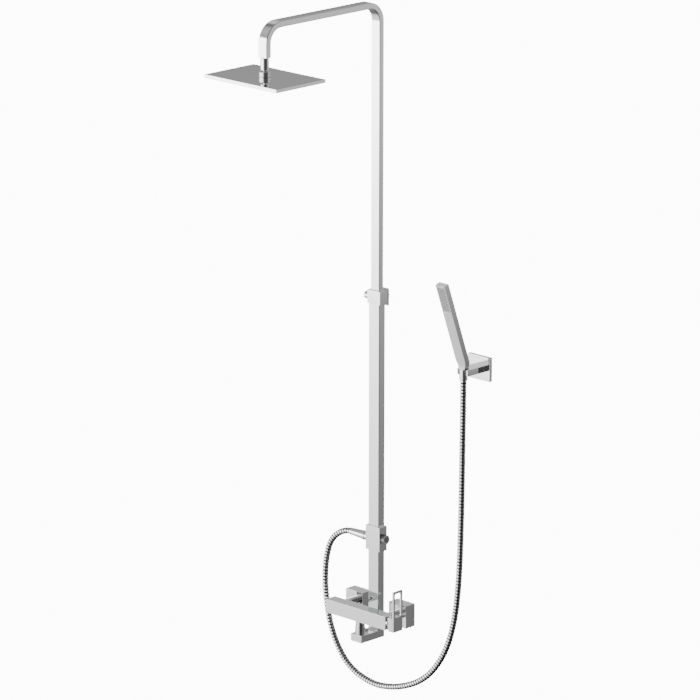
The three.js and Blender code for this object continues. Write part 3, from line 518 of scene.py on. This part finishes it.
# ------------------------------------------------------------------ operators
class SHOWER_OT_stage(bpy.types.Operator):
    """Camera, pale floor and soft studio light"""

    bl_idname = "shower.stage"
    bl_label = "Stage"

    def execute(self, context):
        """Makes the camera, the floor and the surroundings that the chrome mirrors."""
        own = context.scene.shower_stage
        lens = bpy.data.cameras.new("camera")
        lens.lens = own.lens
        lens.sensor_width = 36.0
        lens.shift_x, lens.shift_y = own.shift
        lens.clip_end = 100.0
        camera = bpy.data.objects.new("camera", lens)
        camera.location = own.position
        camera.rotation_euler = (math.pi / 2 - own.pitch, 0, own.azimuth)
        context.scene.collection.objects.link(camera)
        context.scene.camera = camera

        half = 40.0
        mesh = bpy.data.meshes.new("floor")
        corners = [(-half, -half, 0), (half, -half, 0), (half, half, 0), (-half, half, 0)]
        mesh.from_pydata(corners, [], [(0, 1, 2, 3)])
        mesh.transform(Matrix.Translation((0, 0, -own.floor_drop)))
        floor = bpy.data.objects.new("floor", mesh)
        context.scene.collection.objects.link(floor)
        pale = bpy.data.materials.new("pale floor")
        pale.use_nodes = True
        shader = pale.node_tree.nodes["Principled BSDF"]
        shader.inputs["Base Color"].default_value = (0.85, 0.85, 0.85, 1)
        shader.inputs["Roughness"].default_value = 0.9
        shader.inputs["Emission Color"].default_value = (1, 1, 1, 1)
        shader.inputs["Emission Strength"].default_value = own.backdrop
        mesh.materials.append(pale)
        floor.visible_glossy = False
        floor.visible_diffuse = False
        self.surroundings(context, own.backdrop)
        return {"FINISHED"}

    def surroundings(self, context, backdrop):
        """A studio in the round: a broad light at the front left, dark by the camera, mid greys behind."""
        world = bpy.data.worlds.new("studio")
        context.scene.world = world
        world.use_nodes = True
        tree = world.node_tree
        tree.nodes.clear()
        coords = tree.nodes.new("ShaderNodeTexCoord")
        parts = tree.nodes.new("ShaderNodeSeparateXYZ")
        tree.links.new(coords.outputs["Generated"], parts.inputs[0])
        turn = tree.nodes.new("ShaderNodeTexGradient")
        turn.gradient_type = "RADIAL"
        tree.links.new(coords.outputs["Generated"], turn.inputs["Vector"])
        dimmest, span = 0.05, 200.0

        def ramp(stops):
            node = tree.nodes.new("ShaderNodeValToRGB")
            node.color_ramp.interpolation = "EASE"
            points = node.color_ramp.elements
            for index, (place_at, light) in enumerate(sorted(stops)):
                point = points[index] if index < 2 else points.new(place_at)
                point.position = place_at
                value = math.log(light / dimmest) / math.log(span)
                point.color = (value, value, value, 1)
            tree.links.new(turn.outputs["Fac"], node.inputs["Fac"])
            return node.outputs["Color"]

        low = ramp([(0.0, 0.4), (0.067, 1.2), (0.129, 1.45), (0.248, 1.7), (0.303, 0.8), (0.345, 0.1),
                    (0.372, 0.045), (0.456, 0.05), (0.53, 0.12), (0.581, 0.17), (0.665, 0.2), (0.72, 0.3),
                    (0.8, 0.28), (0.873, 0.22), (0.94, 0.28)])
        high = ramp([(0.0, 1.2), (0.067, 3.0), (0.129, 6.5), (0.235, 5.5), (0.303, 1.0), (0.345, 0.14),
                     (0.372, 0.07), (0.456, 0.06), (0.53, 0.08), (0.585, 0.5), (0.628, 0.7), (0.68, 0.55),
                     (0.74, 0.3), (0.873, 0.3), (0.94, 0.5)])
        upper = ramp([(0.0, 0.5), (0.067, 0.5), (0.129, 0.5), (0.248, 0.4), (0.303, 0.25), (0.345, 0.15),
                      (0.372, 0.12), (0.456, 0.12), (0.53, 0.3), (0.581, 0.5), (0.665, 0.6), (0.72, 0.7),
                      (0.8, 0.6), (0.873, 0.6), (0.94, 0.7)])
        zenith = ramp([(0.0, 0.35), (0.067, 0.6), (0.129, 0.8), (0.248, 0.3), (0.345, 0.08),
                       (0.456, 0.08), (0.581, 0.12), (0.72, 0.3), (0.8, 0.55),
                       (0.873, 0.85), (0.92, 0.85), (0.97, 0.2)])

        def band(start, end):
            """Rises from 0 to 1 between two heights of the direction looked in."""
            node = tree.nodes.new("ShaderNodeMapRange")
            node.inputs["From Min"].default_value = start
            node.inputs["From Max"].default_value = end
            tree.links.new(parts.outputs["Z"], node.inputs["Value"])
            return node.outputs[0]

        def blend_by(share, first, second):
            """Goes from the first colour to the second as the share rises."""
            node = tree.nodes.new("ShaderNodeMix")
            node.data_type = "RGBA"
            tree.links.new(share, node.inputs["Factor"])
            tree.links.new(first, node.inputs["A"])
            tree.links.new(second, node.inputs["B"])
            return node.outputs["Result"]

        around_us = blend_by(band(-0.31, -0.215), low, high)
        around_us = blend_by(band(0.19, 0.3), around_us, upper)
        around_us = blend_by(band(0.4, 0.62), around_us, zenith)
        light = math_node(tree, "MULTIPLY", math_node(tree, "POWER", span, around_us), dimmest)
        floorward = math_node(tree, "ADD", 0.12, math_node(tree, "MULTIPLY", band(-0.9, -0.6), 0.88))
        around = tree.nodes.new("ShaderNodeBackground")
        tree.links.new(math_node(tree, "MULTIPLY", light, floorward), around.inputs["Strength"])
        behind = tree.nodes.new("ShaderNodeBackground")
        behind.inputs["Strength"].default_value = backdrop
        for shade in (around, behind):
            shade.inputs["Color"].default_value = (1, 1, 1, 1)
        kind = tree.nodes.new("ShaderNodeLightPath")
        choose = tree.nodes.new("ShaderNodeMixShader")
        tree.links.new(kind.outputs["Is Camera Ray"], choose.inputs[0])
        tree.links.new(around.outputs[0], choose.inputs[1])
        tree.links.new(behind.outputs[0], choose.inputs[2])
        out = tree.nodes.new("ShaderNodeOutputWorld")
        tree.links.new(choose.outputs[0], out.inputs["Surface"])


def smooth_route(points, steps=8):
    """A smooth curve through the points, as a dense list."""
    route = [Vector(p) for p in points]
    line = [route[0]]
    padded = [route[0] * 2 - route[1], *route, route[-1] * 2 - route[-2]]
    for a, b, c, d in zip(padded, padded[1:], padded[2:], padded[3:]):
        knots = [0.0]
        for first, second in ((a, b), (b, c), (c, d)):
            knots.append(knots[-1] + max((second - first).length, 1e-6) ** 0.5)
        t0, t1, t2, t3 = knots
        for k in range(1, steps + 1):
            t = t1 + (t2 - t1) * k / steps
            ab = a * ((t1 - t) / (t1 - t0)) + b * ((t - t0) / (t1 - t0))
            bc = b * ((t2 - t) / (t2 - t1)) + c * ((t - t1) / (t2 - t1))
            cd = c * ((t3 - t) / (t3 - t2)) + d * ((t - t2) / (t3 - t2))
            abc = ab * ((t2 - t) / (t2 - t0)) + bc * ((t - t0) / (t2 - t0))
            bcd = bc * ((t3 - t) / (t3 - t1)) + cd * ((t - t1) / (t3 - t1))
            line.append(abc * ((t2 - t) / (t2 - t1)) + bcd * ((t - t1) / (t2 - t1)))
    return line


class SHOWER_OT_hose(bpy.types.Operator):
    """The metal hose and its two nuts"""

    bl_idname = "shower.hose"
    bl_label = "Hose"

    def execute(self, context):
        """Grows the grooved hose along its route and turns its nuts."""
        own = context.scene.shower_sizes
        line = smooth_route(HOSE_ROUTE)
        curve = bpy.data.curves.new("hose line", "CURVE")
        curve.dimensions = "3D"
        spline = curve.splines.new("POLY")
        spline.points.add(len(line) - 1)
        for point, spot in zip(spline.points, line):
            point.co = (*spot, 1)
        base = bpy.data.objects.new("hose line", curve)
        context.scene.collection.objects.link(base)
        measured = sum((b - a).length for a, b in zip(line, line[1:]))
        links = int(measured / own.link_pitch)
        per_link = 8
        tree, entry, out = new_tree("hose links", (
            ("Links", "NodeSocketInt", 400), ("Radius", "NodeSocketFloat", 0.007),
            ("Groove", "NodeSocketFloat", 0.0005)))
        even = tree.nodes.new("GeometryNodeResampleCurve")
        tree.links.new(entry.outputs["Geometry"], even.inputs["Curve"])
        tree.links.new(math_node(tree, "MULTIPLY", entry.outputs["Links"], per_link), even.inputs["Count"])
        index = tree.nodes.new("GeometryNodeInputIndex").outputs[0]
        phase = math_node(tree, "DIVIDE", math_node(tree, "MODULO", index, per_link), per_link)
        crown = math_node(tree, "SINE", math_node(tree, "MULTIPLY", phase, math.pi))
        groove = math_node(tree, "POWER", math_node(tree, "SUBTRACT", 1.0, crown), 2.0)
        thick = math_node(tree, "SUBTRACT", 1.0, math_node(tree, "MULTIPLY", groove, math_node(
            tree, "DIVIDE", entry.outputs["Groove"], entry.outputs["Radius"])))
        # the crown is stored on the hose for its material, which uses it to paint shade into the grooves
        note = tree.nodes.new("GeometryNodeStoreNamedAttribute")
        note.data_type = "FLOAT"
        note.domain = "POINT"
        note.inputs["Name"].default_value = "crown"
        tree.links.new(even.outputs[0], note.inputs["Geometry"])
        tree.links.new(crown, note.inputs["Value"])
        ring = tree.nodes.new("GeometryNodeCurvePrimitiveCircle")
        ring.inputs["Resolution"].default_value = 20
        tree.links.new(entry.outputs["Radius"], ring.inputs["Radius"])
        skin = tree.nodes.new("GeometryNodeCurveToMesh")
        skin.inputs["Fill Caps"].default_value = True
        tree.links.new(note.outputs[0], skin.inputs["Curve"])
        tree.links.new(ring.outputs[0], skin.inputs["Profile Curve"])
        tree.links.new(thick, skin.inputs["Scale"])
        end_tree(tree, skin.outputs[0], link_material(), out)
        mesh = grown("metal_hose", base, tree, {
            "Links": links, "Radius": HOSE_DIAMETER / 2, "Groove": own.link_groove})
        mesh.shade_smooth()
        hose = bpy.data.objects.new("metal_hose", mesh)
        context.scene.collection.objects.link(hose)
        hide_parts("shower_hose")
        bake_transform(hose)

        low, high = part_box("hose_cone_nut")
        axis = (0, RISER_Y, middle("hose_cone_nut")[2])
        big, small = (high[2] - low[2]) / 2, 0.009
        bore, recess = 0.0046, 0.0076
        shoulder = high[0] - 0.0115
        cone = turned("cone_nut", "hose_cone_nut", "x", axis, [
            (bore, low[0]), (small, low[0]), (big - 0.0009, shoulder - 0.0012), (big, shoulder),
            (big, high[0]), (recess, high[0]), (recess, shoulder - 0.002), (bore, shoulder - 0.002)])
        low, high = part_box("hose_nut")
        radius = (high[0] - low[0]) / 2
        inside, bore = radius - 0.002, 0.0042
        turned("hand_nut", "hose_nut", "z", (HOLDER_X, SEAT_Y, 0), [
            (bore, low[2]), (radius, low[2]), (radius, high[2]), (inside, high[2]),
            (inside, low[2] + 0.004), (bore, low[2] + 0.004)], 0.0009)
        return {"FINISHED"}


class SHOWER_OT_riser(bpy.types.Operator):
    """The lower riser tubes and the sliding arm"""

    bl_idname = "shower.riser"
    bl_label = "Riser"

    def execute(self, context):
        """Sweeps the three tubes."""
        for name, node in (("foot_tube", "riser_foot_tube"), ("main_tube", "riser_main_tube")):
            low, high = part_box(node)
            tube_along(name, node, [(RISER_Y, low[2], 0), (RISER_Y, high[2], 0)],
                       high[0] - low[0], high[1] - low[1], 0.002, 0.0015)
        low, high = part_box("riser_arm")
        depth = 0.0158
        bend, top = 0.043, high[2] - depth / 2
        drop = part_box("ball_connector")[1][2] - STEM_INSIDE
        stations = [(RISER_Y, low[2], 0)]
        steps = 20
        for k in range(steps + 1):
            angle = k / steps * math.pi / 2
            stations.append((RISER_Y - bend + bend * math.cos(angle), top - bend + bend * math.sin(angle),
                             angle))
        for k in range(steps + 1):
            angle = k / steps * math.pi / 2
            stations.append((ARM_Y + bend - bend * math.sin(angle), top - bend + bend * math.cos(angle),
                             math.pi / 2 + angle))
        stations.append((ARM_Y, drop + PLAY, math.pi))
        tube_along("arm_tube", "riser_arm", stations, high[0] - low[0], depth, 0.0022, 0.0012)
        return {"FINISHED"}


class SHOWER_OT_mixer(bpy.types.Operator):
    """The mixer, its wall boxes and its unions"""

    bl_idname = "shower.mixer"
    bl_label = "Mixer"

    def execute(self, context):
        """Rounds the blocks and turns the round fittings."""
        softened("mixer_block", "mixer_body")
        softened("elbow_block", "riser_elbow")
        for side in ("left", "right"):
            softened(f"box_{side}", f"wall_box_{side}")
            low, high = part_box(f"union_nut_{side}")
            radius = (high[2] - low[2]) / 2
            turned(f"union_{side}", f"union_nut_{side}", "y", (middle(f"union_nut_{side}")[0], 0, 0), [
                (UNION_BORE, low[1]), (radius, low[1]), (radius, high[1]), (UNION_BORE, high[1])], 0.0006)
        low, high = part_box("outlet_nut")
        radius, step = (high[0] - low[0]) / 2, high[2] - 0.0166
        centre = (*middle("outlet_nut")[:2], 0)
        turned("outlet_union", "outlet_nut", "z", centre, [
            (UNION_BORE, low[2]), (radius, low[2]), (radius, step), (radius - 0.0013, step + 0.0014),
            (radius - 0.0013, high[2]), (UNION_BORE, high[2])], 0.0005)
        low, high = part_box("cartridge_nut")
        body = middle("cartridge_nut")
        turned("retaining_nut", "cartridge_nut", "x", (0, body[1], body[2]), [
            (0.0078, low[0]), (0.0126, low[0]), (0.0126, high[0] - 0.003), (0.015, high[0] - 0.003),
            (0.015, high[0]), (0.0078, high[0])], 0.0003)
        return {"FINISHED"}


class SHOWER_OT_lever(bpy.types.Operator):
    """The mixer's handle with its open loop"""

    bl_idname = "shower.lever"
    bl_label = "Lever"

    def execute(self, context):
        """Rounds the handle block and the loop."""
        softened("lever_block", "handle_block")
        softened("lever_frame", "lever_loop", 0.8)
        return {"FINISHED"}


class SHOWER_OT_diverter(bpy.types.Operator):
    """The diverter, its knob and the hose outlet"""

    bl_idname = "shower.diverter"
    bl_label = "Diverter"

    def execute(self, context):
        """Rounds the block and turns the knob and the outlet."""
        softened("diverter_block", "diverter_body", 1.3)
        low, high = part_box("diverter_knob")
        body = middle("diverter_knob")
        radius, inner = (high[2] - low[2]) / 2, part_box("diverter_body")[1][0] + 0.0005
        sleeve = radius - 0.0012
        spindle, cup, cup_floor = 0.0031, 0.0073, high[0] - 0.007
        turned("diverter_handle_knob", "diverter_knob", "x", (0, body[1], body[2]), [
            (0, low[0]), (spindle, low[0]), (spindle, inner), (sleeve, inner), (sleeve, high[0] - 0.0008),
            (radius, high[0] - 0.0008), (radius, high[0]), (cup, high[0]), (cup, cup_floor),
            (0, cup_floor)], 0.0003)
        turned("knob_grip", "diverter_knob", "x", (0, body[1], body[2]), [
            (sleeve, inner), (radius - 0.0002, inner), (radius - 0.0002, high[0] - 0.0009),
            (sleeve, high[0] - 0.0009)], 0.0002, "grey_liner")
        low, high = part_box("hose_tap")
        body = middle("hose_tap")
        radius = (high[2] - low[2]) / 2
        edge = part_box("hose_cone_nut")[1][0] + PLAY
        turned("hose_outlet", "hose_tap", "x", (0, body[1], body[2]), [
            (0.0046, low[0]), (0.0072, low[0]), (0.0072, edge), (radius, edge), (radius, high[0]),
            (0.0046, high[0])], 0.0004)
        return {"FINISHED"}


class SHOWER_OT_bracket(bpy.types.Operator):
    """The middle bracket with its thumb screw"""

    bl_idname = "shower.bracket"
    bl_label = "Bracket"

    def execute(self, context):
        """Rounds the collar and the plate, and turns the thumb screw and the spacer."""
        softened("bracket_collar", "clamp_collar", 1.2)
        softened("bracket_plate", "clamp_back_plate", 0.8)
        low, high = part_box("clamp_knob")
        body = middle("clamp_knob")
        radius, inner = (high[2] - low[2]) / 2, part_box("clamp_collar")[0][0] - 0.001
        turned("thumb_screw", "clamp_knob", "x", (0, body[1], body[2]), [
            (0, low[0]), (radius - 0.003, low[0]), (radius, low[0] + 0.0024), (radius, inner - 0.001),
            (radius - 0.001, inner), (0.0039, inner), (0.0039, high[0]), (0, high[0])], 0.0008)
        low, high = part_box("wall_spacer")
        body = middle("wall_spacer")
        radius = (high[2] - low[2]) / 2
        turned("spacer_disc", "wall_spacer", "y", (body[0], 0, body[2]), [
            (0.0028, low[1]), (radius, low[1]), (radius, high[1]), (0.0028, high[1])], 0.0006)
        return {"FINISHED"}


class SHOWER_OT_rain_head(bpy.types.Operator):
    """The swivelling rain head"""

    bl_idname = "shower.rain_head"
    bl_label = "Rain head"

    def execute(self, context):
        """Rounds the plates, turns the joint's pieces and sets the nozzles."""
        own = context.scene.shower_sizes
        softened("head_shell", "rain_head_shell", 0.9)
        softened("head_plate", "nozzle_plate", 0.5)
        low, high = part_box("swivel_nut")
        radius = (high[0] - low[0]) / 2
        centre = (0, ARM_Y, 0)
        turned("joint_nut", "swivel_nut", "z", centre, [
            (0.0111, low[2]), (radius, low[2]), (radius, high[2] - 0.002), (radius - 0.002, high[2]),
            (0.007, high[2]), (0.0089, high[2] - 0.0066)], 0.0004)
        low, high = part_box("ball_connector")
        ball, ball_radius, neck = low[2] + 0.0066, 0.0066, 0.004
        bottom, top = ball + 0.0094, high[2] - STEM_INSIDE
        profile = [(0.0022, low[2] + 0.0004)]
        for k in range(2, 14):
            angle = k / 13 * (math.pi - math.asin(neck / ball_radius))
            profile.append((ball_radius * math.sin(angle), ball - ball_radius * math.cos(angle)))
        profile += [(neck, bottom), (0.0097, bottom), (0.0105, bottom + 0.0008), (0.0105, top), (0.0022, top)]
        turned("ball_stem", "ball_connector", "z", centre, profile, 0.0003)
        low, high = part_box("nozzle_plate")
        nozzle_field("rain_nozzles", "nozzle_plate", own.rain_columns, own.rain_rows,
                     (high[0] - low[0]) - 0.03, (high[1] - low[1]) - 0.03,
                     (0, ARM_Y, low[2]), (math.pi, 0, 0), 0.0019, 0.0022)
        return {"FINISHED"}


class SHOWER_OT_holder(bpy.types.Operator):
    """The hand shower's wall holder"""

    bl_idname = "shower.holder"
    bl_label = "Holder"

    def execute(self, context):
        """Rounds the plate, the fork and its liner."""
        softened("holder_cover", "holder_plate", 1.2)
        softened("holder_fork", "holder_yoke", 0.9)
        softened("fork_liner", "yoke_liner", 0.6)
        return {"FINISHED"}


class SHOWER_OT_hand_shower(bpy.types.Operator):
    """The hand shower"""

    bl_idname = "shower.hand_shower"
    bl_label = "Hand shower"

    def execute(self, context):
        """Rounds the stick and its spray face, and sets the nozzles."""
        own = context.scene.shower_sizes
        softened("hand_stick", "handset_body", 0.6)
        softened("hand_face", "handset_spray_face", 0.4)
        low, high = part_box("handset_spray_face")
        face = middle("handset_spray_face")
        out = 0.0012
        at = (face[0], face[1] - out * math.cos(TILT), face[2] - out * math.sin(TILT))
        length = (high[2] - low[2]) / math.cos(TILT)
        nozzle_field("hand_nozzles", "handset_spray_face", own.hand_columns, own.hand_rows,
                     (high[0] - low[0]) - 0.008, length - 0.014, at, (math.pi / 2 + TILT, 0, 0),
                     0.0011, 0.0012)
        return {"FINISHED"}


class SHOWER_OT_inner_parts(bpy.types.Operator):
    """Finishes of the pieces that keep their plain form"""

    bl_idname = "shower.inner_parts"
    bl_label = "Inner parts"

    def execute(self, context):
        """Gives every carried-over piece its own finish."""
        made = finishes()
        for name, node in frame["nodes"].items():
            finish = made[finish_of(name)]
            for slot in node.material_slots:
                slot.material = finish
            if not node.material_slots:
                raise RuntimeError(f"{name} has no material slot")
        return {"FINISHED"}


class SHOWER_PT_panel(bpy.types.Panel):
    """Lists the column's steps"""

    bl_label = "Shower column"
    bl_idname = "SHOWER_PT_panel"
    bl_space_type = "VIEW_3D"
    bl_region_type = "UI"
    bl_category = "Shower"

    def draw(self, context):
        """One button for each step, with the settings below."""
        for operator in OPERATORS:
            self.layout.operator(operator.bl_idname)
        for group in (context.scene.shower_finishes, context.scene.shower_sizes, context.scene.shower_stage):
            box = self.layout.box()
            for key in group.bl_rna.properties.keys():
                if key not in ("rna_type", "name"):
                    box.prop(group, key)


SETTINGS = (
    ("shower_finishes", ShowerFinishes),
    ("shower_sizes", ShowerSizes),
    ("shower_stage", ShowerStage),
)
OPERATORS = (
    SHOWER_OT_stage, SHOWER_OT_hose, SHOWER_OT_riser, SHOWER_OT_mixer, SHOWER_OT_lever, SHOWER_OT_diverter,
    SHOWER_OT_bracket, SHOWER_OT_rain_head, SHOWER_OT_holder, SHOWER_OT_hand_shower, SHOWER_OT_inner_parts,
)


def register():
    """Adds the settings, the steps and the panel."""
    for name, group in SETTINGS:
        bpy.utils.register_class(group)
        setattr(bpy.types.Scene, name, bpy.props.PointerProperty(type=group))
    for item in (*OPERATORS, SHOWER_PT_panel):
        bpy.utils.register_class(item)


def unregister():
    """Takes them away again."""
    for item in reversed((*OPERATORS, SHOWER_PT_panel)):
        bpy.utils.unregister_class(item)
    for name, group in reversed(SETTINGS):
        delattr(bpy.types.Scene, name)
        bpy.utils.unregister_class(group)


def main():
    """Builds the column."""
    register()
    for operator in OPERATORS:
        family, step = operator.bl_idname.split(".")
        getattr(getattr(bpy.ops, family), step)()


if __name__ == "__main__":
    main()
